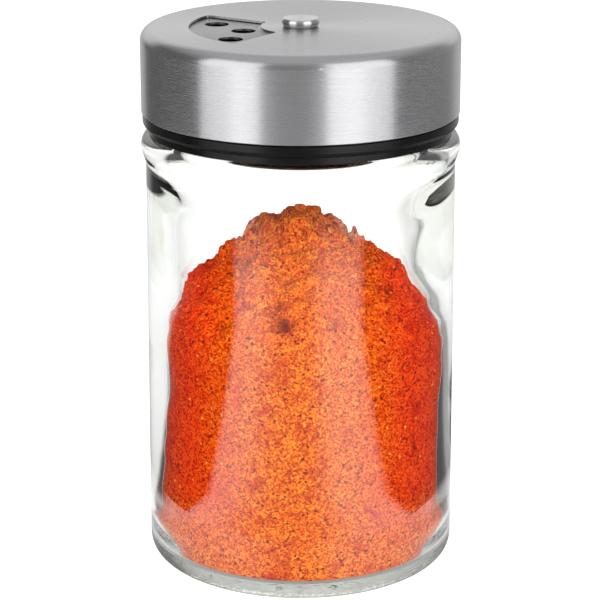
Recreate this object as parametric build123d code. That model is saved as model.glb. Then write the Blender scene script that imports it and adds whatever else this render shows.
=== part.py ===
from build123d import *
import math
import os

# A glass spice jar with a screw-on dosing lid.
# The jar stands on its bearing ring at height 0, and +Z is up along its axis.
# The lid is a black plastic screw insert that carries a steel disc with groups of holes.
# A brushed steel cap with one window turns over the disc on a central rivet.

# Glass body
body_diameter = 58.6
base_flare = 0.35
shoulder_height = 84.3
wall_thickness = 3.3
floor_thickness = 4.0
base_corner = 3.6
floor_corner = 3.0
bearing_width = 1.6
punt_depth = 1.8
punt_step = 0.9

# Glass shoulder bead and neck
bead_stand = 0.85
bead_top_radius = 2.0
bead_fade = 3.9
neck_inset = 2.9
neck_height = 16.3
neck_wall = 2.7
rim_rounding = 0.8
shoulder_inner_fade = 15.0

# Screw thread between the neck and the insert
thread_pitch = 5.0
insert_thread_turns = 1.2
thread_depth = 0.9
thread_root_width = 2.1
thread_crest_width = 0.9
thread_top_inset = 1.7
thread_foot_inset = 0.2
thread_sink = 0.3

# Spice heap
fill_wall_height = 49.0
fill_peak_height = 69.3
fill_clearance = 0.2
mound_shares = [
    (0.00, 1.00),
    (0.26, 0.89),
    (0.45, 0.72),
    (0.64, 0.56),
    (0.76, 0.42),
    (0.84, 0.29),
    (0.91, 0.17),
    (1.00, 0.00),
]

# Steel cap
cap_sheet = 0.4
cap_top_radius = 2.3
cap_edge_rounding = 0.15
window_inner_radius = 7.5
window_margin = 4.1
window_angle = 191.5
window_span = 87.0
window_corner = 0.9

# Steel dosing disc
disc_thickness = 0.4
disc_rim = 4.3
hub_diameter = 16.8
hub_rise = 0.15
hub_ramp = 0.3
coarse_hole_diameter = 4.6
coarse_inner_edge = 0.15
coarse_outer_edge = 2.2
coarse_spread = 27.3
fine_hole_diameter = 2.2
fine_inner_edge = 1.1
fine_outer_edge = 1.6
fine_row_least_step = 3.6
fine_first_row_count = 2
fine_hole_step = 4.8
pour_inner_edge = 1.2
pour_outer_edge = 1.5
pour_span = 62.0
pour_corner = 1.5
notch_width = 3.0
notch_depth = 1.2

# Black plastic insert
panel_thickness = 1.6
insert_wall = 1.6
flange_setback = 0.2
flange_height = 2.2
flange_rounding = 0.9
collar_wall = 1.0
collar_height = 1.3
panel_corner = 2.2
plug_depth = 2.5
plug_wall = 1.2
hole_margin = 0.3

# Rivet and washer
rivet_head_diameter = 7.1
rivet_head_height = 1.5
rivet_head_flat_diameter = 6.6
rivet_head_foot_diameter = 6.5
rivet_shoulder_diameter = 4.0
rivet_shank_diameter = 3.0
rivet_tail_diameter = 4.6
rivet_tail_height = 0.8
rivet_tail_rounding = 0.4
washer_diameter = 8.0
washer_thickness = 0.5

# Seal ring
seal_thickness = 1.0

# Clearances
shoulder_clearance = 0.3
flange_gap = 0.25
cap_clearance = 0.3
thread_clearance = 0.4
plug_clearance = 0.35
disc_clearance = 0.1
pivot_clearance = 0.05
seal_clearance = 0.3
overrun = 1.0

# Radii that follow from the sizes above
body_top_radius = body_diameter / 2
base_radius = body_top_radius + base_flare
bead_radius = body_top_radius + bead_stand
neck_radius = body_top_radius - neck_inset
mouth_radius = neck_radius - neck_wall
inner_base_radius = base_radius - wall_thickness
inner_top_radius = body_top_radius - wall_thickness
insert_bore_radius = neck_radius + thread_depth + thread_clearance
insert_radius = insert_bore_radius + insert_wall
cap_inner_radius = insert_radius + cap_clearance
cap_radius = cap_inner_radius + cap_sheet
cap_inner_corner = cap_top_radius - cap_sheet
flange_radius = cap_radius - flange_setback
collar_radius = insert_bore_radius + collar_wall
plug_radius = mouth_radius - plug_clearance
disc_radius = insert_radius - disc_rim
window_outer_radius = disc_radius - window_margin
hub_radius = hub_diameter / 2
coarse_hole_radius = coarse_hole_diameter / 2
coarse_inner_radius = hub_radius + coarse_inner_edge + coarse_hole_radius
coarse_outer_radius = window_outer_radius - coarse_outer_edge - coarse_hole_radius
fine_hole_radius = fine_hole_diameter / 2
fine_first_radius = hub_radius + fine_inner_edge + fine_hole_radius
fine_last_radius = window_outer_radius - fine_outer_edge - fine_hole_radius
pour_inner_radius = hub_radius + pour_inner_edge
pour_outer_radius = window_outer_radius - pour_outer_edge
shank_hole_radius = rivet_shank_diameter / 2 + pivot_clearance
cap_bore_radius = rivet_shoulder_diameter / 2 + pivot_clearance

# Heights that follow, from the glass rim up to the top of the rivet
rim_height = shoulder_height + neck_height
ceiling = rim_height + seal_thickness
disc_bottom = ceiling + panel_thickness
disc_top = disc_bottom + disc_thickness
cap_underside = disc_top + hub_rise
cap_top = cap_underside + cap_sheet
insert_top = cap_underside - cap_clearance
head_bottom = cap_top + pivot_clearance
collar_bottom = shoulder_height + shoulder_clearance
flange_bottom = collar_bottom + collar_height
flange_top = flange_bottom + flange_height
skirt_bottom = flange_top + flange_gap
inner_fade_low = shoulder_height - shoulder_inner_fade
inner_wall_low = floor_thickness + floor_corner

# The insert's ridge starts just over its lower edge, and the neck's lies half a pitch above it
insert_thread_low = collar_bottom + thread_foot_inset + thread_root_width / 2
neck_thread_low = insert_thread_low + thread_pitch / 2
neck_thread_top = rim_height - thread_top_inset - thread_root_width / 2
neck_thread_turns = (neck_thread_top - neck_thread_low) / thread_pitch

# Places of the disc's hole groups, one quarter turn apart; the fourth quarter has none
quarter = 90.0
coarse_angle = window_angle
fine_angle = window_angle + quarter
pour_angle = window_angle - quarter


def corner_arc(before, corner, after, rounding):
    """Start, middle and end of the arc that rounds one corner of an outline."""
    back = Vector(before[0] - corner[0], before[1] - corner[1]).normalized()
    ahead = Vector(after[0] - corner[0], after[1] - corner[1]).normalized()
    half_turn = math.radians(back.get_angle(ahead)) / 2
    reach = rounding / math.tan(half_turn)
    middle_reach = rounding / math.sin(half_turn) - rounding
    toward = (back + ahead).normalized()
    place = Vector(corner[0], corner[1])
    return place + back * reach, place + toward * middle_reach, place + ahead * reach


def upright(point):
    """A (radius, height) pair placed in the XZ plane."""
    return (point[0], 0, point[1])


def outline_face(corners):
    """A closed face in the XZ plane from corners of radius, height and rounding."""
    pieces = []
    joints = []
    for index, corner in enumerate(corners):
        before = corners[index - 1]
        after = corners[(index + 1) % len(corners)]
        if corner[2] > 0:
            start, middle, end = corner_arc(before, corner, after, corner[2])
            arc = ThreePointArc(*[upright((p.X, p.Y)) for p in (start, middle, end)])
            pieces.append(arc)
            joints.append((upright((start.X, start.Y)), upright((end.X, end.Y))))
        else:
            joints.append((upright(corner), upright(corner)))
    for index, joint in enumerate(joints):
        pieces.append(Line(joint[1], joints[(index + 1) % len(joints)][0]))
    return make_face(pieces)


def turned(corners):
    """A round solid from the corners of half of its section."""
    return revolve(outline_face(corners), Axis.Z)


def column(radius, low, high):
    """A plain round column about the axis."""
    return Pos(0, 0, low) * Cylinder(radius, high - low, align=(Align.CENTER, Align.CENTER, Align.MIN))


def at_angle(radius, angle, height=0):
    """A place given by its distance from the axis and its compass angle."""
    turn = math.radians(angle)
    return Pos(radius * math.cos(turn), radius * math.sin(turn), height)


def sector_cut(inner, outer, span, rounding, angle, low, high):
    """A sector-shaped block with rounded corners, centred on an angle."""
    half = math.radians(span / 2)
    starts = [(r * math.cos(half), -r * math.sin(half)) for r in (inner, outer)]
    ends = [(r * math.cos(half), r * math.sin(half)) for r in (inner, outer)]
    edges = [
        ThreePointArc(starts[1], (outer, 0), ends[1]),
        Line(ends[1], ends[0]),
        ThreePointArc(ends[0], (inner, 0), starts[0]),
        Line(starts[0], starts[1]),
    ]
    face = make_face(edges)
    face = fillet(face.vertices(), rounding)
    return Rot(0, 0, angle) * Pos(0, 0, low) * extrude(face, high - low)


def coarse_places():
    """Angle and radius of the three large holes, one near the hub and two outside."""
    return [
        (coarse_angle, coarse_inner_radius),
        (coarse_angle - coarse_spread, coarse_outer_radius),
        (coarse_angle + coarse_spread, coarse_outer_radius),
    ]


def fine_places():
    """Angle and radius of the fine holes, in rows that widen outwards."""
    places = []
    room = fine_last_radius - fine_first_radius
    gaps = math.floor(room / fine_row_least_step)
    for row in range(gaps + 1):
        radius = fine_first_radius + row * room / max(gaps, 1)
        turn = math.degrees(fine_hole_step / radius)
        count = fine_first_row_count + row
        for index in range(count):
            places.append((fine_angle + (index - (count - 1) / 2) * turn, radius))
    return places


def hole_columns(places, radius, low, high):
    """One round column at each place."""
    return [at_angle(r, a) * column(radius, low, high) for a, r in places]


def thread_ridge(root_radius, depth, turns, low):
    """A helical ridge that stands out from a root radius, or in where depth is negative."""
    inward = math.copysign(1, depth)
    sink = thread_sink * inward
    path = Pos(0, 0, low) * Helix(thread_pitch, turns * thread_pitch, root_radius)
    half_root = thread_root_width / 2
    half_crest = thread_crest_width / 2
    section = make_face(Polyline(
        (root_radius - sink, 0, low - half_root),
        (root_radius, 0, low - half_root),
        (root_radius + depth, 0, low - half_crest),
        (root_radius + depth, 0, low + half_crest),
        (root_radius, 0, low + half_root),
        (root_radius - sink, 0, low + half_root),
        close=True,
    ))
    return sweep(section, path=path, is_frenet=True)


def glass_section():
    """Half section of the jar: bearing ring, wall, bead, neck, and the hollow inside."""
    bearing_outer = base_radius - base_corner
    bearing_inner = bearing_outer - bearing_width
    bead_middle = shoulder_height - bead_top_radius
    bead_start = bead_middle - bead_fade
    corner_turn = math.sqrt(0.5)
    rim_outer = neck_radius - rim_rounding
    rim_inner = mouth_radius + rim_rounding
    rim_side = rim_height - rim_rounding

    def place(radius, height):
        return upright((radius, height))

    up = (0, 0, 1)
    down = (0, 0, -1)
    outward = (1, 0, 0)
    base_arc_middle = place(
        bearing_outer + base_corner * corner_turn,
        base_corner - base_corner * corner_turn,
    )
    bead_arc_middle = place(
        bead_radius - bead_top_radius + bead_top_radius * corner_turn,
        bead_middle + bead_top_radius * corner_turn,
    )
    floor_arc_middle = place(
        inner_base_radius - floor_corner + floor_corner * corner_turn,
        floor_thickness + floor_corner - floor_corner * corner_turn,
    )
    return [
        TangentArc(place(0, punt_depth), place(bearing_inner - punt_step, punt_step), tangent=outward),
        Line(place(bearing_inner - punt_step, punt_step), place(bearing_inner, 0)),
        Line(place(bearing_inner, 0), place(bearing_outer, 0)),
        ThreePointArc(place(bearing_outer, 0), base_arc_middle, place(base_radius, base_corner)),
        Line(place(base_radius, base_corner), place(body_top_radius, bead_start)),
        Spline(place(body_top_radius, bead_start), place(bead_radius, bead_middle), tangents=[up, up]),
        ThreePointArc(
            place(bead_radius, bead_middle),
            bead_arc_middle,
            place(bead_radius - bead_top_radius, shoulder_height),
        ),
        Line(place(bead_radius - bead_top_radius, shoulder_height), place(neck_radius, shoulder_height)),
        Line(place(neck_radius, shoulder_height), place(neck_radius, rim_side)),
        ThreePointArc(
            place(neck_radius, rim_side),
            place(rim_outer + rim_rounding * corner_turn, rim_side + rim_rounding * corner_turn),
            place(rim_outer, rim_height),
        ),
        Line(place(rim_outer, rim_height), place(rim_inner, rim_height)),
        ThreePointArc(
            place(rim_inner, rim_height),
            place(rim_inner - rim_rounding * corner_turn, rim_side + rim_rounding * corner_turn),
            place(mouth_radius, rim_side),
        ),
        Line(place(mouth_radius, rim_side), place(mouth_radius, shoulder_height)),
        Spline(
            place(mouth_radius, shoulder_height),
            place(inner_top_radius, inner_fade_low),
            tangents=[down, down],
        ),
        Line(place(inner_top_radius, inner_fade_low), place(inner_base_radius, inner_wall_low)),
        ThreePointArc(
            place(inner_base_radius, inner_wall_low),
            floor_arc_middle,
            place(inner_base_radius - floor_corner, floor_thickness),
        ),
        Line(place(inner_base_radius - floor_corner, floor_thickness), place(0, floor_thickness)),
        Line(place(0, floor_thickness), place(0, punt_depth)),
    ]


def make_glass_jar():
    """The jar with its external right-hand thread."""
    jar = revolve(make_face(glass_section()), Axis.Z)
    return jar + thread_ridge(neck_radius, thread_depth, neck_thread_turns, neck_thread_low)


def make_spice_fill():
    """The heap of ground spice: it follows the wall and is mounded to a peak."""
    wall_rise_share = (fill_wall_height - inner_wall_low) / (inner_fade_low - inner_wall_low)
    wall_lean = inner_top_radius - inner_base_radius
    radius = inner_base_radius + wall_rise_share * wall_lean - fill_clearance
    mound = fill_peak_height - fill_wall_height
    crest = [upright((share * radius, fill_wall_height + rise * mound)) for share, rise in mound_shares]
    side_foot = upright((inner_base_radius - fill_clearance, inner_wall_low))
    foot = upright((inner_base_radius - floor_corner, floor_thickness))
    edges = [
        Line(upright((0, floor_thickness)), foot),
        Line(foot, side_foot),
        Line(side_foot, crest[-1]),
        Spline(*crest),
        Line(crest[0], upright((0, floor_thickness))),
    ]
    return revolve(make_face(edges), Axis.Z)


def make_seal_ring():
    """The liner that is pressed on the glass rim."""
    outer = insert_bore_radius - seal_clearance
    inner = plug_radius + seal_clearance
    return turned([
        (inner, rim_height, 0),
        (outer, rim_height, 0),
        (outer, ceiling, 0),
        (inner, ceiling, 0),
    ])


def insert_shell():
    """The moulded cup: panel, wall, flange and collar, before its holes and thread."""
    recess_radius = disc_radius + disc_clearance
    return turned([
        (shank_hole_radius, ceiling, 0),
        (insert_bore_radius, ceiling, 0),
        (insert_bore_radius, collar_bottom, 0),
        (collar_radius, collar_bottom, 0),
        (collar_radius, flange_bottom, 0),
        (flange_radius, flange_bottom, flange_rounding),
        (flange_radius, flange_top, cap_edge_rounding),
        (insert_radius, flange_top, 0),
        (insert_radius, insert_top, panel_corner),
        (recess_radius, insert_top, 0),
        (recess_radius, disc_bottom, 0),
        (shank_hole_radius, disc_bottom, 0),
    ])


def plug_lip():
    """The lip that enters the mouth and keeps the liner in place."""
    low = rim_height - plug_depth
    return turned([
        (plug_radius - plug_wall, low, 0),
        (plug_radius, low, 0),
        (plug_radius, disc_bottom - panel_thickness / 2, 0),
        (plug_radius - plug_wall, disc_bottom - panel_thickness / 2, 0),
    ])


def disc_keys(margin, low, high):
    """Two blocks at the recess wall that stop the disc from turning."""
    depth = notch_depth + overrun
    block = Pos(disc_radius - notch_depth + margin, 0, low) * Box(
        depth, notch_width - 2 * margin, high - low, align=(Align.MIN, Align.CENTER, Align.MIN)
    )
    return [Rot(0, 0, angle) * block for angle in (fine_angle, pour_angle)]


def make_screw_insert():
    """The black lid body with holes that follow the disc's, a little larger."""
    low = ceiling - overrun
    high = disc_bottom + overrun
    insert = insert_shell() + plug_lip() + disc_keys(disc_clearance, disc_bottom, insert_top)
    insert -= hole_columns(coarse_places(), coarse_hole_radius + hole_margin, low, high)
    insert -= hole_columns(fine_places(), fine_hole_radius + hole_margin, low, high)
    insert -= sector_cut(
        pour_inner_radius - hole_margin,
        pour_outer_radius + hole_margin,
        pour_span,
        pour_corner + hole_margin,
        pour_angle,
        low,
        high,
    )
    return insert + thread_ridge(insert_bore_radius, -thread_depth, insert_thread_turns, insert_thread_low)


def make_dosing_disc():
    """The steel disc: raised hub, three large holes, rows of fine holes and a pour opening."""
    ramp_top = hub_radius - hub_ramp
    disc = turned([
        (shank_hole_radius, disc_bottom + hub_rise, 0),
        (ramp_top, disc_bottom + hub_rise, 0),
        (hub_radius, disc_bottom, 0),
        (disc_radius, disc_bottom, 0),
        (disc_radius, disc_top, 0),
        (hub_radius, disc_top, 0),
        (ramp_top, cap_underside, 0),
        (shank_hole_radius, cap_underside, 0),
    ])
    low = disc_bottom - overrun
    high = disc_top + overrun
    disc -= hole_columns(coarse_places(), coarse_hole_radius, low, high)
    disc -= hole_columns(fine_places(), fine_hole_radius, low, high)
    disc -= sector_cut(
        pour_inner_radius, pour_outer_radius, pour_span, pour_corner, pour_angle, low, high
    )
    return disc - disc_keys(0, low, high)


def make_steel_cap():
    """The drawn steel cap with its sector window and its pivot hole."""
    cap = turned([
        (cap_bore_radius, cap_underside, 0),
        (cap_inner_radius, cap_underside, cap_inner_corner),
        (cap_inner_radius, skirt_bottom, cap_edge_rounding),
        (cap_radius, skirt_bottom, cap_edge_rounding),
        (cap_radius, cap_top, cap_top_radius),
        (cap_bore_radius, cap_top, 0),
    ])
    return cap - sector_cut(
        window_inner_radius,
        window_outer_radius,
        window_span,
        window_corner,
        window_angle,
        cap_underside - overrun,
        cap_top + overrun,
    )


def make_rivet_knob():
    """The rivet: barrel head, shoulder in the cap, shank through disc and panel, peened tail."""
    shoulder_radius = rivet_shoulder_diameter / 2
    shank_radius = rivet_shank_diameter / 2
    head_top = head_bottom + rivet_head_height
    tail_top = ceiling - washer_thickness
    tail_bottom = tail_top - rivet_tail_height
    head_middle = (head_bottom + head_top) / 2
    foot = upright((rivet_head_foot_diameter / 2, head_bottom))
    side = upright((rivet_head_diameter / 2, head_middle))
    brow = upright((rivet_head_flat_diameter / 2, head_top))
    head = make_face([
        Line(upright((0, head_bottom)), foot),
        ThreePointArc(foot, side, brow),
        Line(brow, upright((0, head_top))),
        Line(upright((0, head_top)), upright((0, head_bottom))),
    ])
    shoulder = column(shoulder_radius, cap_underside, head_bottom)
    stem = shoulder + column(shank_radius, tail_top, cap_underside)
    tail = turned([
        (0, tail_bottom, 0),
        (rivet_tail_diameter / 2, tail_bottom, rivet_tail_rounding),
        (rivet_tail_diameter / 2, tail_top, 0),
        (0, tail_top, 0),
    ])
    return revolve(head, Axis.Z) + stem + tail


def make_backing_washer():
    """The washer under the panel that the rivet's tail bears on."""
    return turned([
        (shank_hole_radius, ceiling - washer_thickness, 0),
        (washer_diameter / 2, ceiling - washer_thickness, 0),
        (washer_diameter / 2, ceiling, 0),
        (shank_hole_radius, ceiling, 0),
    ])


def write_parts():
    """Build every piece and write each to its own file."""
    pieces = {
        "glass_jar": make_glass_jar(),
        "spice_fill": make_spice_fill(),
        "seal_ring": make_seal_ring(),
        "screw_insert": make_screw_insert(),
        "dosing_disc": make_dosing_disc(),
        "steel_cap": make_steel_cap(),
        "rivet_knob": make_rivet_knob(),
        "backing_washer": make_backing_washer(),
    }
    os.makedirs("parts", exist_ok=True)
    for name, piece in pieces.items():
        export_step(piece, "parts/" + name + ".step")
        print(name, len(piece.solids()), "solid, volume", round(piece.volume, 1), "mm3")
    print("jar and lid stand", round(head_bottom + rivet_head_height, 2), "mm tall")


write_parts()
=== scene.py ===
# %% [markdown]
# # A glass spice jar with a dosing lid
# This lesson dresses the imported jar for a studio photograph. The lid's metal and plastic parts keep
# their exact shapes from the frame and get new finishes. The glass and the spice are modelled again
# here, because the wavy wall and the crumbly heap are what the eye looks for first. The frame is
# loaded first.

# %% Load the frame
import math

import bmesh
import bpy
from mathutils import Matrix, noise


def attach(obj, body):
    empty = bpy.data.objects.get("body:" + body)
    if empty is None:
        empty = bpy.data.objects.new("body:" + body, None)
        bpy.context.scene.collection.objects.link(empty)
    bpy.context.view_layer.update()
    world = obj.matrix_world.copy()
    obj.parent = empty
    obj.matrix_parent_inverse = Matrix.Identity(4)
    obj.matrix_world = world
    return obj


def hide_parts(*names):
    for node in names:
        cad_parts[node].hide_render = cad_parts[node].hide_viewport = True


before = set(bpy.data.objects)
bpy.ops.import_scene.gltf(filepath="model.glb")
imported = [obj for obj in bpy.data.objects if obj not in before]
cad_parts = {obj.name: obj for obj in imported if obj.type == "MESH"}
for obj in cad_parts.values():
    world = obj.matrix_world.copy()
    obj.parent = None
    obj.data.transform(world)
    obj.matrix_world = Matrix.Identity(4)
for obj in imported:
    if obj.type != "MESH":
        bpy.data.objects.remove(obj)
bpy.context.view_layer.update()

# %% [markdown]
# ## Turning on a lathe
# Blender works in metres, and a jar is measured in millimetres, so every size below is written in
# millimetres and multiplied by MM. Glass jars are pressed in round moulds, so both new pieces start as
# an outline: a string of a few vertices in the XZ plane, whose corners a vertex bevel rounds.

# %% Outline helpers
MM = 0.001


def outline(bm, points):
    """Joins (radius, height) points in millimetres into a string of edges."""
    verts = [bm.verts.new((r * MM, 0, z * MM)) for r, z in points]
    for a, b in zip(verts, verts[1:]):
        bm.edges.new((a, b))
    return verts


def round_corner(bm, vert, radius, segments):
    """Rounds one corner of an outline with a vertex bevel; the radius is in millimetres."""
    one, two = [edge.other_vert(vert).co - vert.co for edge in vert.link_edges]
    reach = radius * MM * math.tan((math.pi - one.angle(two)) / 2)
    bmesh.ops.bevel(
        bm, geom=[vert], offset=reach, offset_type="OFFSET", segments=segments,
        profile=0.5, affect="VERTICES", material=-1,
    )


def cut_long_edges(bm, step, low=-1.0, high=1000.0):
    """Divides each edge whose middle lies between two heights until none is longer than step."""
    for edge in bm.edges[:]:
        a, b = edge.verts
        if low <= (a.co.z + b.co.z) / 2 / MM <= high:
            cuts = math.ceil(edge.calc_length() / (step * MM)) - 1
            if cuts > 0:
                bmesh.ops.subdivide_edges(bm, edges=[edge], cuts=cuts)


# %% [markdown]
# A spin of the outline about the axis gives the solid, as on a lathe. It could be a modifier, but a
# mesh that exists as vertices can be shaped further, which both pieces need.

# %% Lathe helpers
def lathe(bm, steps):
    """Spins the outline round the axis, closes its seams and poles, and turns faces outwards.

    A spin slows down as its mesh grows, so it makes one eighth, which is then doubled three times.
    """
    bmesh.ops.spin(
        bm, geom=bm.verts[:] + bm.edges[:], cent=(0, 0, 0), axis=(0, 0, 1), dvec=(0, 0, 0),
        angle=math.tau / 8, steps=steps // 8, use_merge=False, use_duplicate=False,
    )
    for share in (8, 4, 2):
        copied = bmesh.ops.duplicate(bm, geom=bm.verts[:] + bm.edges[:] + bm.faces[:])["geom"]
        turned = [v for v in copied if isinstance(v, bmesh.types.BMVert)]
        bmesh.ops.rotate(bm, verts=turned, cent=(0, 0, 0), matrix=Matrix.Rotation(math.tau / share, 3, "Z"))
    bmesh.ops.remove_doubles(bm, verts=bm.verts[:], dist=0.002 * MM)
    bmesh.ops.recalc_face_normals(bm, faces=bm.faces[:])


def make_object(bm, name, body, sharp=40):
    """Turns the bmesh into a smooth-shaded object that rides on a body of the frame."""
    for face in bm.faces:
        face.smooth = True
    for edge in bm.edges:
        if len(edge.link_faces) == 2 and edge.calc_face_angle() > math.radians(sharp):
            edge.smooth = False
    mesh = bpy.data.meshes.new(name)
    bm.to_mesh(mesh)
    bm.free()
    piece = bpy.data.objects.new(name, mesh)
    bpy.context.scene.collection.objects.link(piece)
    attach(piece, body)
    print(name, len(mesh.vertices), "vertices,", len(mesh.polygons), "faces")
    return piece


# %% [markdown]
# ## The glass
# Pressed and blown glass is smooth outside, where it met the mould, and wavy inside, where it met only
# air. A plain lathe makes the mould side. The inner wall is then moved by a function of height and
# direction, so that it is thick in one place and thin in another. Light bends at those waves, and
# that is what makes a drawing of a tube look like glass.

# %% Inner wall of the glass
# Each row is a height and the wall's inner radius there, in mm: at the left, the right and the front.
LEFT_WALL = [(7, 27.2), (12, 26.8), (22, 26.5), (28, 26.3), (36, 26.0), (44, 26.1), (50, 25.8), (56, 24.9),
             (64, 25.1), (72, 25.3), (79.5, 26.9)]
RIGHT_WALL = [(7, 27.1), (13, 26.65), (22, 26.6), (30, 26.65), (38, 26.8), (44, 26.7), (48, 26.4), (54, 25.4),
              (62, 23.8), (71, 24.6), (79.5, 26.9)]
MIDDLE_WALL = [(7, 26.4), (70, 26.1), (79.5, 26.9)]


def table_value(table, place):
    """Reads a table of (place, value) rows, with a soft step between its rows."""
    if place <= table[0][0]:
        return table[0][1]
    for (start, one), (end, other) in zip(table, table[1:]):
        if place <= end:
            share = (place - start) / (end - start)
            return one + (other - one) * share * share * (3 - 2 * share)
    return table[-1][1]


def inner_radius(x, y, height):
    """Radius of the inner wall in mm, in the direction of x and y and at a height in mm."""
    reach = math.hypot(x, y) or 1.0
    side = x / reach
    middle = table_value(MIDDLE_WALL, height)
    edge = table_value(RIGHT_WALL if side > 0 else LEFT_WALL, height)
    return middle + (edge - middle) * side ** 4


# %% [markdown]
# The outline goes from the middle of the underside round the foot, up the wall, over the shoulder
# bead and the neck, and back down inside. Light is bent by every rounding, so each corner gets its own
# radius and enough segments, and long edges are cut wherever the next step will move them.

# %% Lathe the glass
FOOT_RADIUS, DOME_RADIUS, DOME_RISE = 29.65, 23.55, 0.9
WALL_RADIUS, BEAD_RADIUS, BEAD_LOW, BEAD_HIGH, SHOULDER = 29.3, 30.15, 78.4, 82.0, 84.45
NECK_RADIUS, MOUTH_RADIUS, NECK_TOP = 26.4, 23.7, 100.6
BORE_RADIUS, BORE_TOP_RADIUS, BORE_LOW, BORE_HIGH, FLOOR_TOP = 26.35, 26.9, 7.0, 79.5, 3.0
bm = bmesh.new()
corners = outline(bm, [
    (0, 2 * DOME_RISE), (DOME_RADIUS, DOME_RISE), (24.45, 0), (FOOT_RADIUS, 0), (WALL_RADIUS, BEAD_LOW),
    (BEAD_RADIUS, BEAD_HIGH), (BEAD_RADIUS, SHOULDER), (NECK_RADIUS, SHOULDER), (NECK_RADIUS, NECK_TOP),
    (MOUTH_RADIUS, NECK_TOP), (MOUTH_RADIUS, 82.35), (BORE_TOP_RADIUS, 82.55), (BORE_TOP_RADIUS, BORE_HIGH),
    (BORE_RADIUS, BORE_LOW), (BORE_RADIUS, FLOOR_TOP), (0, FLOOR_TOP),
])
# Corner, radius in mm and segments.
for corner, radius, segments in [
    (14, 1.2, 8), (11, 0.5, 8), (10, 0.7, 8), (9, 0.8, 6), (8, 0.8, 6), (7, 0.5, 4), (6, 2.3, 14),
    (3, 3.6, 14), (2, 0.35, 3),
]:
    round_corner(bm, corners[corner], radius, segments)
# Longest edge, from a height to a height, in mm.
for step, low, high in [(0.5, 84.7, 100.4), (0.7, 78.0, 84.7), (1.4, 4.2, 78.0), (1.5, 0.0, 4.2)]:
    cut_long_edges(bm, step, low, high)
lathe(bm, 256)
print("glass before shaping:", len(bm.verts), "vertices")

# %% [markdown]
# The spin gave straight walls. Now each vertex is moved by where it is: the outer wall swells softly
# into the shoulder bead, the inner wall takes its waves, the underside is domed, and the neck gets its
# screw thread as a ridge that climbs as it turns. The waves fade in above the floor's rounding.

# %% Shape the glass
PITCH, RIDGE_FOOT, RIDGE_TOP, RIDGE_DEPTH = 5.0, 88.35, 97.85, 0.88
WAVES_LOW, WAVES_FADE = 4.2, 3.0


def ridge_height(angle, height):
    """How far the thread stands out, from 0 to 1, at an angle in turns and a height in mm."""
    best = 0.0
    for turn in range(3):
        centre = RIDGE_FOOT + (turn + angle) * PITCH
        if centre <= RIDGE_TOP:
            best = max(best, min(1.0, max(0.0, (1.05 - abs(height - centre)) / 0.6)))
    return best


for vert in bm.verts:
    x, y, z = (c / MM for c in vert.co)
    radius = math.hypot(x, y)
    if radius < 1e-6:
        continue
    if 29 < radius and BEAD_LOW <= z <= BEAD_HIGH + 0.01:
        new_radius = table_value([(BEAD_LOW, WALL_RADIUS), (BEAD_HIGH, BEAD_RADIUS)], z)
    elif 23.4 < radius < 27.0 and WAVES_LOW < z < BORE_HIGH - 0.1:
        taper = (BORE_TOP_RADIUS - BORE_RADIUS) / (BORE_HIGH - BORE_LOW)
        plain_radius = BORE_RADIUS + taper * max(0.0, z - BORE_LOW)
        fade_in = min(1.0, (z - WAVES_LOW) / WAVES_FADE)
        new_radius = radius + (inner_radius(x, y, z) - plain_radius) * fade_in
    elif abs(radius - NECK_RADIUS) < 0.05 and 85.2 < z < 99.7:
        angle = (math.atan2(y, x) / math.tau) % 1.0
        new_radius = NECK_RADIUS + RIDGE_DEPTH * ridge_height(angle, z)
    else:
        new_radius = radius
    vert.co.x *= new_radius / radius
    vert.co.y *= new_radius / radius
    if z < 2 * DOME_RISE + 0.01 and radius < DOME_RADIUS + 0.01:
        vert.co.z = DOME_RISE * (2 - (radius / DOME_RADIUS) ** 2) * MM
glass = make_object(bm, "jar_of_wavy_glass", "jar", sharp=35)
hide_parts("glass_jar")

# %% [markdown]
# ## The spice
# Ground paprika is dry, and its grains cling in crumbs. Where it fell free it lies as a rough mound
# with clefts between the crumbs, and where it leans on the glass it is pressed smooth. Real grains
# would be millions of pieces, so the same lathe makes one dense skin, fine enough to carry crumbs.

# %% Lathe the heap
# Each row is a distance from the axis and the mound's height there, in mm: for the front and back.
RIM_RADIUS, RIM_HEIGHT = 26.1, 47.5
MOUND = [(0, 69.3), (6.8, 67.1), (11.8, 63.6), (16.7, 60.4), (19.9, 57.5), (22.0, 54.9),
         (23.8, 52.5), (25.2, 50.2), (RIM_RADIUS, RIM_HEIGHT)]
# The same towards the left and the right.
LEFT_SLOPE = [(0, 68.6), (2.0, 66.6), (4.5, 65.0), (9.4, 63.9), (13.3, 62.5), (15.1, 60.8), (18.2, 58.2),
              (21.3, 56.4), (22.9, 55.0), (24.2, 52.0), (26.2, 48.0)]
RIGHT_SLOPE = [(0, 68.6), (3.8, 66.2), (6.0, 63.9), (10.6, 62.8), (12.6, 61.4), (17.2, 60.6), (20.1, 58.2),
               (24.0, 54.2), (25.4, 49.5), (26.4, 46.0), (28.0, 44.0)]
bm = bmesh.new()
corners = outline(bm, [(0, FLOOR_TOP + 0.1), (26.2, FLOOR_TOP + 0.1), *reversed(MOUND)])
round_corner(bm, corners[1], 1.2, 6)
for step, low, high in [(0.33, RIM_HEIGHT, 70), (1.5, 4.2, RIM_HEIGHT), (3.0, 0, 4.2)]:
    cut_long_edges(bm, step, low, high)
lathe(bm, 480)
print("heap from the lathe:", len(bm.verts), "vertices")


# %% [markdown]
# The lathe's mound is the same all round, but poured powder slides unevenly. The real heap falls to the
# left and to the right along two different lines, so each vertex takes its height from both tables,
# mixed by direction, and the back lies a little lower. The wall of powder below follows the new rim.

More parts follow.
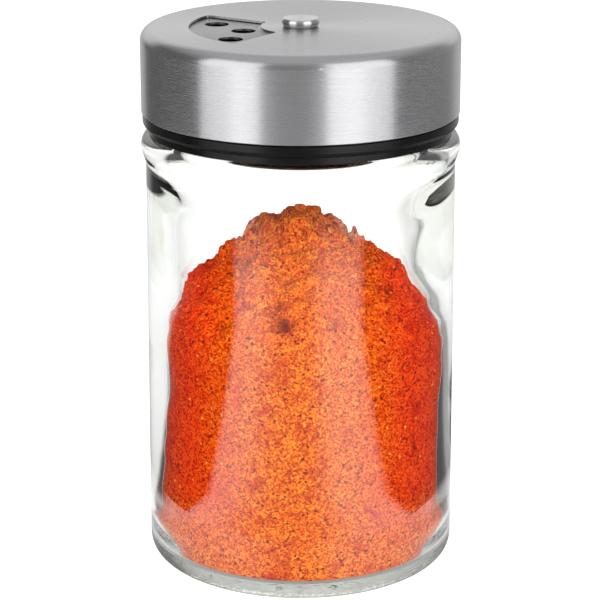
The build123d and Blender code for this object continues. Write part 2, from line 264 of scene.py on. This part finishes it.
# %% Slope the heap
def slope_height(x, y):
    """Height of the mound in mm over a place in mm."""
    radius = math.hypot(x, y)
    side = x / max(radius, 0.1)
    left, right = table_value(LEFT_SLOPE, radius), table_value(RIGHT_SLOPE, radius)
    sideways = left + (right - left) * (0.5 + 0.5 * side)
    facing = (y / max(radius, 4.0)) ** 2
    back = 0.31 * max(0.0, y) * (1 - min(1.0, radius / 27.0) ** 3)
    return sideways + (table_value(MOUND, radius) - sideways) * facing - back


STRETCH_LOW = 30
bm.verts.index_update()
mound_verts = [v for v in bm.verts if v.co.z > (RIM_HEIGHT - 0.1) * MM]
on_mound = {v.index for v in mound_verts}
for vert in bm.verts:
    x, y, z = (c / MM for c in vert.co)
    if z > RIM_HEIGHT - 0.1:
        vert.co.z = slope_height(x, y) * MM
    elif z > STRETCH_LOW:
        reach = math.hypot(x, y)
        rim = slope_height(x / reach * RIM_RADIUS, y / reach * RIM_RADIUS)
        stretch = (rim - STRETCH_LOW) / (RIM_HEIGHT - STRETCH_LOW)
        vert.co.z = (STRETCH_LOW + (z - STRETCH_LOW) * stretch) * MM
for _ in range(3):
    bmesh.ops.smooth_vert(bm, verts=mound_verts, factor=0.5, use_axis_z=True)
bm.normal_update()
print("mound vertices:", len(mound_verts), "from", round(min(v.co.z for v in mound_verts) / MM, 1), "mm up")

# %% [markdown]
# Crumbs of three sizes cling to each other, and here and there a lump broke away and left a hollow.
# Cell noise suits crumbs, because the distance to the nearest cell's middle is round on top and sharp
# in the clefts. Every vertex is pushed along its normal, and how deep it lies is kept in an
# attribute, so that the material can paint shade into the clefts. The glass then holds everything in.

# %% Push the crumbs out
# Size and height of the crumbs in mm.
CRUMBS = [(5.5, 1.3), (2.5, 0.9), (1.3, 0.5)]
# Place (x and y) and radius of the hollows in mm.
HOLLOWS = [(-5.1, -7.0, 2.0), (6.0, -11.5, 2.4), (15.0, -13.0, 2.2), (11.2, -17.0, 1.5), (-3.9, -22.6, 2.6),
           (13.2, -20.4, 2.0), (-14.8, -19.4, 2.2), (-12.2, -10.0, 1.5)]


def crumb_height(place):
    """Sum of cell noise at several crumb sizes, in mm; place is in mm."""
    total = 0.0
    for size, depth in CRUMBS:
        near, _ = noise.voronoi(place / size, distance_metric="DISTANCE")
        total += depth * (0.6 - 1.8 * near[0] * near[0])
    ragged = 1.0 + 1.1 * noise.noise(place / 1.6)
    for x, y, size in HOLLOWS:
        away = math.hypot((place.x - x) * 0.7, place.y - y) * ragged / size
        total -= 0.6 * size * max(0.0, 1 - away)
    return total + 0.3 * noise.noise(place / 0.7)


POWDER_GAP = 0.15
painted_cleft_shade = bm.verts.layers.float.new("painted_cleft_shade")
for vert in bm.verts:
    place = vert.co / MM
    free = 0.0
    if vert.index in on_mound:
        free = min(1.0, (RIM_RADIUS - math.hypot(place.x, place.y)) / 2.0)
        push = crumb_height(place) * free
        # painted shade: the deeper a vertex lies in a cleft, the darker the material paints it
        vert[painted_cleft_shade] = min(1.0, max(0.0, -0.55 * push - 0.35))
        place = place + vert.normal * push
    radius = math.hypot(place.x, place.y)
    wall = inner_radius(place.x, place.y, place.z) - POWDER_GAP
    if place.z < WAVES_LOW + WAVES_FADE:
        plain = BORE_RADIUS - POWDER_GAP
        wall = plain + (wall - plain) * max(0.0, place.z - WAVES_LOW) / WAVES_FADE
    if radius > wall or (place.z > 4.3 and radius > 25.0 and free == 0.0):
        place.x *= wall / radius
        place.y *= wall / radius
    vert.co = place * MM
spice = make_object(bm, "heap_of_ground_spice", "jar", sharp=180)
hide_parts("spice_fill")

# %% [markdown]
# ## Materials
# Each finish starts from what the real surface is. Colours are written as sRGB hex values, the way a
# paint card gives them, and one function turns them into the linear values that Blender mixes. Every
# pattern is laid out in object coordinates, where a noise of scale 1 / (3 mm) has lumps of about 3 mm.

# %% Node helpers
def paint(code):
    """Linear colour from an sRGB hex value such as #c0c0c0."""
    levels = [int(code[i:i + 2], 16) / 255 for i in (1, 3, 5)]
    linear = [v / 12.92 if v <= 0.04045 else ((v + 0.055) / 1.055) ** 2.4 for v in levels]
    return (*linear, 1.0)


def add_node(tree, kind, inputs=None, **settings):
    """Adds a node, sets its properties, and fills its sockets with values or other nodes' outputs."""
    node = tree.nodes.new("ShaderNode" + kind)
    for name, value in settings.items():
        setattr(node, name, value)
    for socket, value in (inputs or {}).items():
        if isinstance(value, bpy.types.NodeSocket):
            tree.links.new(value, node.inputs[socket])
        else:
            node.inputs[socket].default_value = value
    return node


def fade(tree, value, start, end, low=0.0, high=1.0):
    """Goes from low to high while a value goes from start to end, and stays level beyond both."""
    return add_node(tree, "MapRange", {
        "Value": value, "From Min": start, "From Max": end, "To Min": low, "To Max": high,
    }).outputs[0]


def mix_colour(tree, share, one, other, **settings):
    """Mixes two colours; the share of the second goes from 0 to 1."""
    return add_node(tree, "Mix", {0: share, 6: one, 7: other}, data_type="RGBA", **settings).outputs[2]


def new_material(name):
    """An empty node material and its tree."""
    material = bpy.data.materials.new(name)
    material.use_nodes = True
    material.node_tree.nodes.clear()
    return material, material.node_tree


def give(piece, material):
    """Puts one material on every face of a piece."""
    piece.data.materials.clear()
    piece.data.materials.append(material)


# %% [markdown]
# ### Soda-lime glass
# Clear and smooth, with an index of refraction of 1.52. Thin glass shows no colour, but the thick foot
# and shoulder look grey-green, which a constant absorption in the volume gives without any painting.
# The mould leaves fine dimples under the foot, so a bump is limited to the lowest two millimetres. A
# path tracer can't aim a lamp through bent glass, so shadow and bounce rays pass straight through by
# a Light Path mix, which keeps the spice inside well lit.

# %% Glass material
clear_glass, tree = new_material("soda_lime_glass")
place = add_node(tree, "TexCoord").outputs["Object"]
height = add_node(tree, "SeparateXYZ", {0: place}).outputs[2]
stipple = add_node(tree, "TexNoise", {"Vector": place, "Scale": 1 / (1.2 * MM), "Detail": 1.0})
foot = fade(tree, height, 1.9 * MM, 2.4 * MM, 1.0, 0.0)
dimples = add_node(tree, "Math", {0: stipple.outputs["Fac"], 1: foot}, operation="MULTIPLY")
pressed = add_node(tree, "Bump", {"Height": dimples.outputs[0], "Strength": 0.6, "Distance": 0.25 * MM})
body = add_node(tree, "BsdfPrincipled", {
    "Base Color": paint("#fdfefd"), "Roughness": 0.0, "IOR": 1.52, "Transmission Weight": 1.0,
    "Normal": pressed.outputs[0],
})
through = add_node(tree, "BsdfTransparent", {"Color": paint("#fafbfa")})
rays = add_node(tree, "LightPath")
for_bounces = add_node(tree, "MixShader", {
    0: rays.outputs["Is Diffuse Ray"], 1: body.outputs[0], 2: through.outputs[0],
})
mixed = add_node(tree, "MixShader", {
    0: rays.outputs["Is Shadow Ray"], 1: for_bounces.outputs[0], 2: through.outputs[0],
})
tint = add_node(tree, "VolumeAbsorption", {"Color": paint("#edeeeb"), "Density": 50.0})
add_node(tree, "OutputMaterial", {"Surface": mixed.outputs[0], "Volume": tint.outputs[0]})
give(glass, clear_glass)
print("material", clear_glass.name)

# %% [markdown]
# ### Ground paprika
# Grains of 0.2 to 0.5 mm, each with its own tone from deep red to yellow-orange. Cells of 0.3 mm give
# every grain one tone, a soft noise of 0.4 mm blurs them together, and a colour ramp turns tone into
# paprika colours. A larger noise adds redder patches as big as crumbs.

# %% Grain colours of the spice
paprika, tree = new_material("ground_paprika")
place = add_node(tree, "TexCoord").outputs["Object"]
grain = add_node(tree, "TexNoise", {"Vector": place, "Scale": 1 / (0.4 * MM), "Detail": 2.0, "Roughness": 0.7})
speck = add_node(tree, "TexVoronoi", {"Vector": place, "Scale": 1 / (0.3 * MM), "Randomness": 1.0})
tone = add_node(tree, "SeparateColor", {0: speck.outputs["Color"]})
mixed_tone = add_node(tree, "Mix", {0: 0.5, 2: tone.outputs[0], 3: grain.outputs["Fac"]})
crumb = add_node(tree, "TexNoise", {"Vector": place, "Scale": 1 / (3.0 * MM), "Detail": 3.0, "Roughness": 0.6})
grain_ramp = add_node(tree, "ValToRGB", {"Fac": mixed_tone.outputs[0]})
grain_ramp.color_ramp.elements[0].position = 0.22
grain_ramp.color_ramp.elements[0].color = paint("#a01a00")
grain_ramp.color_ramp.elements[1].position = 0.8
grain_ramp.color_ramp.elements[1].color = paint("#ffa02c")
middle = grain_ramp.color_ramp.elements.new(0.48)
middle.color = paint("#ee5c02")
crumb_level = fade(tree, crumb.outputs["Fac"], 0.52, 0.72, 0.0, 0.75)
patchy = mix_colour(tree, crumb_level, grain_ramp.outputs[0], paint("#c02800"))
print("grain tones:", [round(element.position, 2) for element in grain_ramp.color_ramp.elements])

# %% [markdown]
# Towards the jar's sides the powder is painted deeper red than in front, as painted shade, down to
# the foot, where the painted shade fades and it turns orange again. The clefts get painted shade,
# and a few bits of skin and seed are scattered among the grains: single cells, picked where the
# cell's own random value is highest.

# %% Spice material
# Painted shade: towards the sides and above the foot the colour is multiplied towards deeper red.
split = add_node(tree, "SeparateXYZ", {0: place})
off_axis = add_node(tree, "Math", {0: split.outputs[0]}, operation="ABSOLUTE")
sideways = fade(tree, off_axis.outputs[0], 9 * MM, 19 * MM)
above_foot = fade(tree, split.outputs[2], 7 * MM, 19 * MM)
side_shade_mask = add_node(tree, "Math", {0: sideways, 1: above_foot}, operation="MULTIPLY")
side_shade_tint = mix_colour(tree, side_shade_mask.outputs[0], (1, 1, 1, 1), (1, 0.32, 0.3, 1))
with_side_shade = mix_colour(tree, 1.0, patchy, side_shade_tint, blend_type="MULTIPLY")
# Painted shade in the clefts: this attribute mixes in a dark red, #8a2000.
depth = add_node(tree, "Attribute", attribute_name="painted_cleft_shade")
with_cleft_shade = mix_colour(tree, depth.outputs["Fac"], with_side_shade, paint("#8a2000"))
flake = add_node(tree, "TexVoronoi", {"Vector": place, "Scale": 1 / (0.45 * MM), "Randomness": 1.0})
hue = add_node(tree, "SeparateColor", {0: flake.outputs["Color"]})
is_dark = add_node(tree, "Math", {0: hue.outputs[0], 1: 0.965}, operation="GREATER_THAN")
is_seed = add_node(tree, "Math", {0: hue.outputs[1], 1: 0.994}, operation="GREATER_THAN")
with_skin = mix_colour(tree, is_dark.outputs[0], with_cleft_shade, paint("#842008"))
with_seed = mix_colour(tree, is_seed.outputs[0], with_skin, paint("#f89a3c"))
lumps = add_node(tree, "Bump", {"Height": grain.outputs["Fac"], "Strength": 0.6, "Distance": 0.3 * MM})
body = add_node(tree, "BsdfPrincipled", {
    "Base Color": with_seed, "Roughness": 0.9, "Normal": lumps.outputs[0],
    "Specular IOR Level": 0.0,
})
add_node(tree, "OutputMaterial", {"Surface": body.outputs[0]})
give(spice, paprika)
print("material", paprika.name)


# %% [markdown]
# ### Brushed stainless steel
# The cap was turned against an abrasive belt, so its scratches run round the axis, on the skirt and on
# the top alike. The height less the radius grows steadily from the skirt's edge over the rounding to
# the middle of the top, so a noise that is short along that value and long around the axis draws every
# scratch in one go. The reflections smear across the scratches, which the anisotropic sockets do.

# %% Steel materials
def turned_steel(name, tint, darker, roughness, spread, streak, length, relief):
    """Steel with scratches round the axis; streak and length are a scratch's width and length in mm."""
    material, tree = new_material(name)
    place = add_node(tree, "TexCoord").outputs["Object"]
    split = add_node(tree, "SeparateXYZ", {0: place})
    flat = add_node(tree, "CombineXYZ", {0: split.outputs[0], 1: split.outputs[1]})
    radius = add_node(tree, "VectorMath", {0: flat.outputs[0]}, operation="LENGTH")
    across = add_node(tree, "Math", {0: split.outputs[2], 1: radius.outputs["Value"]}, operation="SUBTRACT")
    joined = add_node(tree, "CombineXYZ", {0: split.outputs[0], 1: split.outputs[1], 2: across.outputs[0]})
    scaled = add_node(tree, "VectorMath", {
        0: joined.outputs[0], 1: (1 / (length * MM), 1 / (length * MM), 1 / (streak * MM)),
    }, operation="MULTIPLY")
    scratch = add_node(tree, "TexNoise", {"Vector": scaled.outputs[0], "Scale": 1.0, "Detail": 2.0, "Roughness": 0.7})
    colour = mix_colour(tree, scratch.outputs["Fac"], paint(darker), paint(tint))
    rough = fade(tree, scratch.outputs["Fac"], 0.3, 0.7, roughness - spread, roughness + spread)
    bump = add_node(tree, "Bump", {
        "Height": scratch.outputs["Fac"], "Strength": relief, "Distance": 0.02 * MM,
    })
    grain = add_node(tree, "Tangent", direction_type="RADIAL", axis="Z")
    body = add_node(tree, "BsdfPrincipled", {
        "Base Color": colour, "Metallic": 1.0, "Roughness": rough,
        "Anisotropic": 0.7, "Anisotropic Rotation": 0.25, "Normal": bump.outputs[0],
        "Tangent": grain.outputs[0],
    })
    add_node(tree, "OutputMaterial", {"Surface": body.outputs[0]})
    print("material", name)
    return material


# %% [markdown]
# Four parts are steel, and each is finished for what it does: the cap is brushed to hide finger marks,
# the disc is plain rolled sheet, painted darker than the cap as painted shade for its recess under
# the window, the rivet's head is rubbed bright by the tool that forms it, and the washer below is
# left as it was stamped.

# %% Four steel finishes
give(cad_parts["steel_cap"], turned_steel(
    "brushed_stainless_steel", "#bebec0", "#b2b2b4", 0.26, 0.05, 0.14, 7.0, 0.22))
# The disc's darker tint is painted shade for its recess under the window.
give(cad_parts["dosing_disc"], turned_steel(
    "disc_steel_with_painted_recess_shade", "#98989a", "#8c8c8e", 0.32, 0.05, 0.25, 9.0, 0.3))
give(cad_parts["rivet_knob"], turned_steel(
    "polished_rivet_steel", "#d6d5d4", "#cac9c8", 0.24, 0.03, 0.12, 5.0, 0.15))
give(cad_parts["backing_washer"], turned_steel(
    "plain_washer_steel", "#b4b2b0", "#a8a6a4", 0.35, 0.05, 0.3, 5.0, 0.2))

# %% [markdown]
# ### Black plastic and the pale liner
# The insert is injection-moulded polypropylene with a satin skin: nearly black, with a broad soft
# highlight and a grain too fine to see except as a slight unevenness. The liner is pressed
# polyethylene foam, matt and off-white.

# %% Plastic materials
def moulded(name, tint, lighter, roughness, grain_size, relief):
    """Plastic with a fine grain in colour, roughness and relief; grain_size is in mm."""
    material, tree = new_material(name)
    place = add_node(tree, "TexCoord").outputs["Object"]
    grain = add_node(tree, "TexNoise", {"Vector": place, "Scale": 1 / (grain_size * MM), "Detail": 3.0})
    cloud = add_node(tree, "TexNoise", {"Vector": place, "Scale": 1 / (6.0 * MM), "Detail": 2.0})
    colour = mix_colour(tree, cloud.outputs["Fac"], paint(tint), paint(lighter))
    rough = fade(tree, cloud.outputs["Fac"], 0.3, 0.7, roughness - 0.05, roughness + 0.05)
    bump = add_node(tree, "Bump", {"Height": grain.outputs["Fac"], "Strength": relief, "Distance": 0.03 * MM})
    body = add_node(tree, "BsdfPrincipled", {
        "Base Color": colour, "Roughness": rough, "Normal": bump.outputs[0],
        "IOR": 1.49, "Specular IOR Level": 0.25,
    })
    add_node(tree, "OutputMaterial", {"Surface": body.outputs[0]})
    print("material", name)
    return material


give(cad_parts["screw_insert"], moulded("black_polypropylene", "#030304", "#070708", 0.24, 0.25, 0.2))
give(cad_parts["seal_ring"], moulded("polyethylene_foam_liner", "#d9d7d0", "#e6e4de", 0.7, 0.4, 0.6))

# %% [markdown]
# ## The studio
# The jar stands on a pale sweep that reads white, in front of a white backdrop. The rest of the room is
# dark, which gives the glass its grey edges and the steel its dark bands, and two tall softboxes
# left and right of the camera give the white bands. The room could be built of cards and flags, but
# most of it is only ever seen mirrored or bent, so it is painted on the world by direction: a
# compass angle goes through a ramp of grey levels.

# %% Painting by direction
def compass(tree, direction):
    """Angle of a direction in turns from 0 to 1; 0.5 is the camera's side and the right hand follows."""
    split = add_node(tree, "SeparateXYZ", {0: direction})
    toward = add_node(tree, "Math", {0: split.outputs[1], 1: -1.0}, operation="MULTIPLY")
    angle = add_node(tree, "Math", {0: split.outputs[0], 1: toward.outputs[0]}, operation="ARCTAN2")
    return fade(tree, angle.outputs[0], -math.pi, math.pi)


def brightness_by_direction(tree, turn, stops):
    """Brightness of the room, from (degrees from the camera's side to the right, level) pairs."""
    node = add_node(tree, "ValToRGB", {"Fac": turn})
    ramp = node.color_ramp
    ramp.elements[0].position, ramp.elements[1].position = 0.0, 1.0
    for element, (_, level) in zip(ramp.elements, (stops[0], stops[-1])):
        element.color = (level, level, level, 1)
    for degrees, level in stops[1:-1]:
        element = ramp.elements.new((degrees + 180) / 360)
        element.color = (level, level, level, 1)
    return node.outputs[0]


# %% [markdown]
# The floor is a pale matt sweep. To the camera it glows a little, so that it reads as white as the
# backdrop and still keeps the jar's shadow. Seen through the glass or mirrored in it, it shows a
# brightness painted by place instead: a painted shadow under the jar, painted light round the foot,
# and further out white behind the jar and dark on the camera's side.

# %% Brightness of the floor
NEAR_RADIUS, FAR_RADIUS = 60 * MM, 4.0
floor_paint, tree = new_material("pale_sweep")
spot = add_node(tree, "TexCoord").outputs["Object"]
reach = add_node(tree, "VectorMath", {0: spot}, operation="LENGTH")
# Painted light and painted shadow on the floor, seen only by mirror and glass rays.
close = fade(tree, reach.outputs["Value"], 44 * MM, NEAR_RADIUS, 1.0, 0.0)
painted_shadow_under_jar = fade(tree, reach.outputs["Value"], 29 * MM, 36 * MM, 1.0, 0.0)
far_light = brightness_by_direction(tree, compass(tree, spot), [
    (-180, 1.25), (-158, 1.2), (-123, 0.85), (-117, 0.06), (0, 0.03), (124, 0.06), (130, 0.35), (139, 0.35),
    (143, 0.84), (158, 1.2), (180, 1.25),
])
painted_light_round_foot = brightness_by_direction(tree, compass(tree, spot), [
    (-180, 0.75), (-26, 0.8), (-12, 0.35), (10, 0.35), (20, 0.8), (180, 0.75),
])
# Painted shadow: under the jar the floor is grey for mirror and glass rays.
near_light = mix_colour(tree, painted_shadow_under_jar, painted_light_round_foot, (0.3, 0.3, 0.29, 1))
painted_light_at_rim = brightness_by_direction(tree, compass(tree, spot), [
    (-180, 0.3), (-102, 0.08), (-88, 1.5), (-40, 1.9), (-16, 0.8), (0, 0.5), (16, 1.2), (40, 1.9), (88, 1.5),
    (102, 0.08), (180, 0.3),
])
rays = add_node(tree, "LightPath")
rim_or_far = mix_colour(tree, rays.outputs["Is Transmission Ray"], painted_light_at_rim, far_light)
place_light = mix_colour(tree, close, rim_or_far, near_light)
print("floor brightness is set by place out to", round(NEAR_RADIUS / MM), "mm, then by direction")

# %% Floor material
matt = add_node(tree, "BsdfDiffuse", {"Color": paint("#d4d4d4")})
white = add_node(tree, "Emission", {"Color": (1, 1, 1, 1), "Strength": 0.75})
dark = add_node(tree, "Emission", {"Color": (0, 0, 0, 1), "Strength": 0.0})
mirrored = add_node(tree, "Emission", {"Color": place_light, "Strength": 1.2})
lift = add_node(tree, "MixShader", {0: rays.outputs["Is Camera Ray"], 1: dark.outputs[0], 2: white.outputs[0]})
lit = add_node(tree, "AddShader", {0: matt.outputs[0], 1: lift.outputs[0]})
for_glass = add_node(tree, "MixShader", {
    0: rays.outputs["Is Transmission Ray"], 1: lit.outputs[0], 2: mirrored.outputs[0],
})
for_gloss = add_node(tree, "MixShader", {
    0: rays.outputs["Is Glossy Ray"], 1: for_glass.outputs[0], 2: mirrored.outputs[0],
})
add_node(tree, "OutputMaterial", {"Surface": for_gloss.outputs[0]})


# %% [markdown]
# The floor is two pieces, because the steel cap should mirror the dark room and not a white floor. The
# near disc may be mirrored, and the far ring is hidden from mirror rays.

# %% Floor pieces
def floor_piece(name, inner, outer):
    """A flat ring of the studio floor, or a disc where its inner radius is 0."""
    bm = bmesh.new()
    bmesh.ops.create_circle(bm, cap_ends=inner == 0, segments=96, radius=outer)
    if inner:
        edge = bm.edges[:]
        rim = [v for v in bmesh.ops.extrude_edge_only(bm, edges=edge)["geom"] if isinstance(v, bmesh.types.BMVert)]
        bmesh.ops.scale(bm, verts=rim, vec=(inner / outer, inner / outer, 1))
        bmesh.ops.recalc_face_normals(bm, faces=bm.faces[:])
    mesh = bpy.data.meshes.new(name)
    bm.to_mesh(mesh)
    bm.free()
    piece = bpy.data.objects.new(name, mesh)
    bpy.context.scene.collection.objects.link(piece)
    give(piece, floor_paint)
    piece.visible_shadow = False
    print(name, "made")
    return piece


near_floor = floor_piece("studio_floor_near", 0, NEAR_RADIUS)
far_floor = floor_piece("studio_floor_far", NEAR_RADIUS, FAR_RADIUS)
far_floor.visible_glossy = False

# %% [markdown]
# The world is the room. What the steel and the glass mirror depends on how high they look: level and up,
# a grey room with a pale backdrop and ceiling, and down, two wide bright cards to the left and right of
# the camera. They give the two long reflections on the glass, which spread towards the foot. The
# direction is a unit vector, so a height of -0.3 is about 17 degrees below the horizon.

# %% Room that is mirrored
world = bpy.data.worlds.new("studio_room")
bpy.context.scene.world = world
world.use_nodes = True
tree = world.node_tree
tree.nodes.clear()
sky = add_node(tree, "TexCoord").outputs["Generated"]
split = add_node(tree, "SeparateXYZ", {0: sky})
turn = compass(tree, sky)
room = brightness_by_direction(tree, turn, [
    (-180, 0.62), (-152, 0.58), (-142, 0.2), (-80, 0.17), (-30, 0.32), (18, 0.35), (74, 0.27), (134, 0.42),
    (146, 0.6), (180, 0.62),
])
height = split.outputs[2]
spread = fade(tree, height, -0.3, -0.38, 1.0, 0.62)
from_front = add_node(tree, "Math", {0: turn, 1: 0.5}, operation="SUBTRACT")
fan = fade(tree, height, -0.368, -0.386, 1.0, 0.6)
narrowed = add_node(tree, "Math", {0: spread, 1: fan}, operation="MULTIPLY")
nearer = add_node(tree, "Math", {0: from_front.outputs[0], 1: narrowed.outputs[0], 2: 0.5}, operation="MULTIPLY_ADD")
low_room = brightness_by_direction(tree, nearer.outputs[0], [
    (-180, 0.6), (-140, 0.1), (-52, 0.02), (-47, 2.9), (-34, 2.9), (-26, 2.0), (-15, 0.9), (-4, 0.7), (5, 0.8),
    (13, 1.8), (19, 2.8), (36, 2.9), (43, 2.5), (49, 0.1), (134, 0.1), (180, 0.6),
])
below = mix_colour(tree, fade(tree, height, -0.4, -0.42), low_room, (0.45, 0.45, 0.45, 1))
whole_room = mix_colour(tree, fade(tree, height, -0.25, -0.28), room, below)
above = add_node(tree, "Math", {
    0: fade(tree, height, 0.0, 0.2), 1: fade(tree, split.outputs[1], 0.6, 0.8),
}, operation="MULTIPLY")
with_backdrop = mix_colour(tree, above.outputs[0], whole_room, (0.9, 0.9, 0.9, 1))
mirrored_room = mix_colour(tree, fade(tree, height, 0.45, 0.85), with_backdrop, (0.66, 0.66, 0.66, 1))
print("room painted for mirror rays")

# %% [markdown]
# Rays that have gone through the glass see another room: a white backdrop behind the jar, and dark
# sides, which draw the grey lines along the glass. The matt powder is lit by a third one, bright from
# above and in front. Light Path picks the room for each kind of ray, and the camera sees plain white.

# %% Room behind the glass, and the light
beyond = brightness_by_direction(tree, turn, [
    (-180, 1.5), (-158, 1.45), (-123, 1.02), (-117, 0.1), (0, 0.06), (124, 0.1), (130, 0.4), (139, 0.4),
    (143, 1.02), (158, 1.45), (180, 1.5),
])
overhead = fade(tree, height, -0.5, 1.0, 0.3, 1.1)
frontal = brightness_by_direction(tree, turn, [
    (-180, 0.6), (-95, 0.4), (-40, 0.95), (40, 1.0), (95, 0.75), (180, 0.6),
])
for_matt = add_node(tree, "VectorMath", {0: overhead, 1: frontal}, operation="MULTIPLY")
rays = add_node(tree, "LightPath")
soft = mix_colour(tree, rays.outputs["Is Glossy Ray"], for_matt.outputs[0], mirrored_room)
bent = mix_colour(tree, rays.outputs["Is Transmission Ray"], soft, beyond)
shown = mix_colour(tree, rays.outputs["Is Camera Ray"], bent, (1, 1, 1, 1))
light = add_node(tree, "Background", {"Color": shown, "Strength": 1.0})
add_node(tree, "OutputWorld", {"Surface": light.outputs[0]})
world.cycles.sampling_method = "NONE"
print("world made")

# %% [markdown]
# A softbox is an area lamp. Its place is given by the direction in which the camera sees it mirrored in
# an upright wall of the jar: a wall turned by an angle shows what stands at twice that angle. Two tall
# ones give the steel its white bands. The key light above the camera brings out the crumbs, and it is
# hidden from mirror rays, because the photograph shows no third reflection.

# %% Softboxes
def softbox(name, start, end, low, high, distance, power, mirrored=True):
    """An area lamp between two compass angles and two heights; distance and heights are in metres."""
    middle = math.radians((start + end) / 2)
    width = 2 * distance * math.tan(math.radians((end - start) / 2))
    lamp = bpy.data.lights.new(name, "AREA")
    lamp.shape = "RECTANGLE"
    lamp.size, lamp.size_y = width, high - low
    lamp.energy = power * width * (high - low)
    lamp_object = bpy.data.objects.new(name, lamp)
    bpy.context.scene.collection.objects.link(lamp_object)
    lamp_object.location = (distance * math.sin(middle), -distance * math.cos(middle), (low + high) / 2)
    lamp_object.rotation_euler = (math.pi / 2, 0, middle)
    lamp_object.visible_camera = False
    lamp_object.visible_transmission = False
    lamp_object.visible_glossy = mirrored
    print(name, "is", round(width, 2), "m wide")
    return lamp_object


softbox("left_softbox", -74, -28, -0.17, 0.9, 0.9, 4.6)
softbox("right_softbox", 18, 68, -0.17, 0.9, 0.9, 4.6)
softbox("key_light", -8, 18, 0.42, 0.72, 0.8, 42.0, mirrored=False)

# %% [markdown]
# The camera was fitted to the photograph: the ellipse of the lid's rim tells how far it looks down, and
# how much narrower the foot looks than the lid tells its distance. The Standard view keeps the colours
# as they were painted.

# %% Camera
camera = bpy.data.cameras.new("photo_camera")
camera.lens, camera.sensor_width = 141.07, 36.0
camera.clip_start, camera.clip_end = 0.01, 20.0
camera_object = bpy.data.objects.new("photo_camera", camera)
bpy.context.scene.collection.objects.link(camera_object)
camera_object.location = (0, -433.83 * MM, 185.84 * MM)
camera_object.rotation_euler = (math.pi / 2 - 0.3022, 0, 0.00027)
bpy.context.scene.camera = camera_object
bpy.context.scene.view_settings.view_transform = "Standard"
# Light that is caught in the thick glass needs many bounces before it leaves.
cycles = bpy.context.scene.cycles
cycles.max_bounces, cycles.glossy_bounces, cycles.transmission_bounces = 40, 24, 24
print("camera at", [round(v, 3) for v in camera_object.location])

# %% [markdown]
# The frame takes the scene over, and every piece moves with the body that it rides on.

# %% Hand-over
bpy.context.view_layer.update()
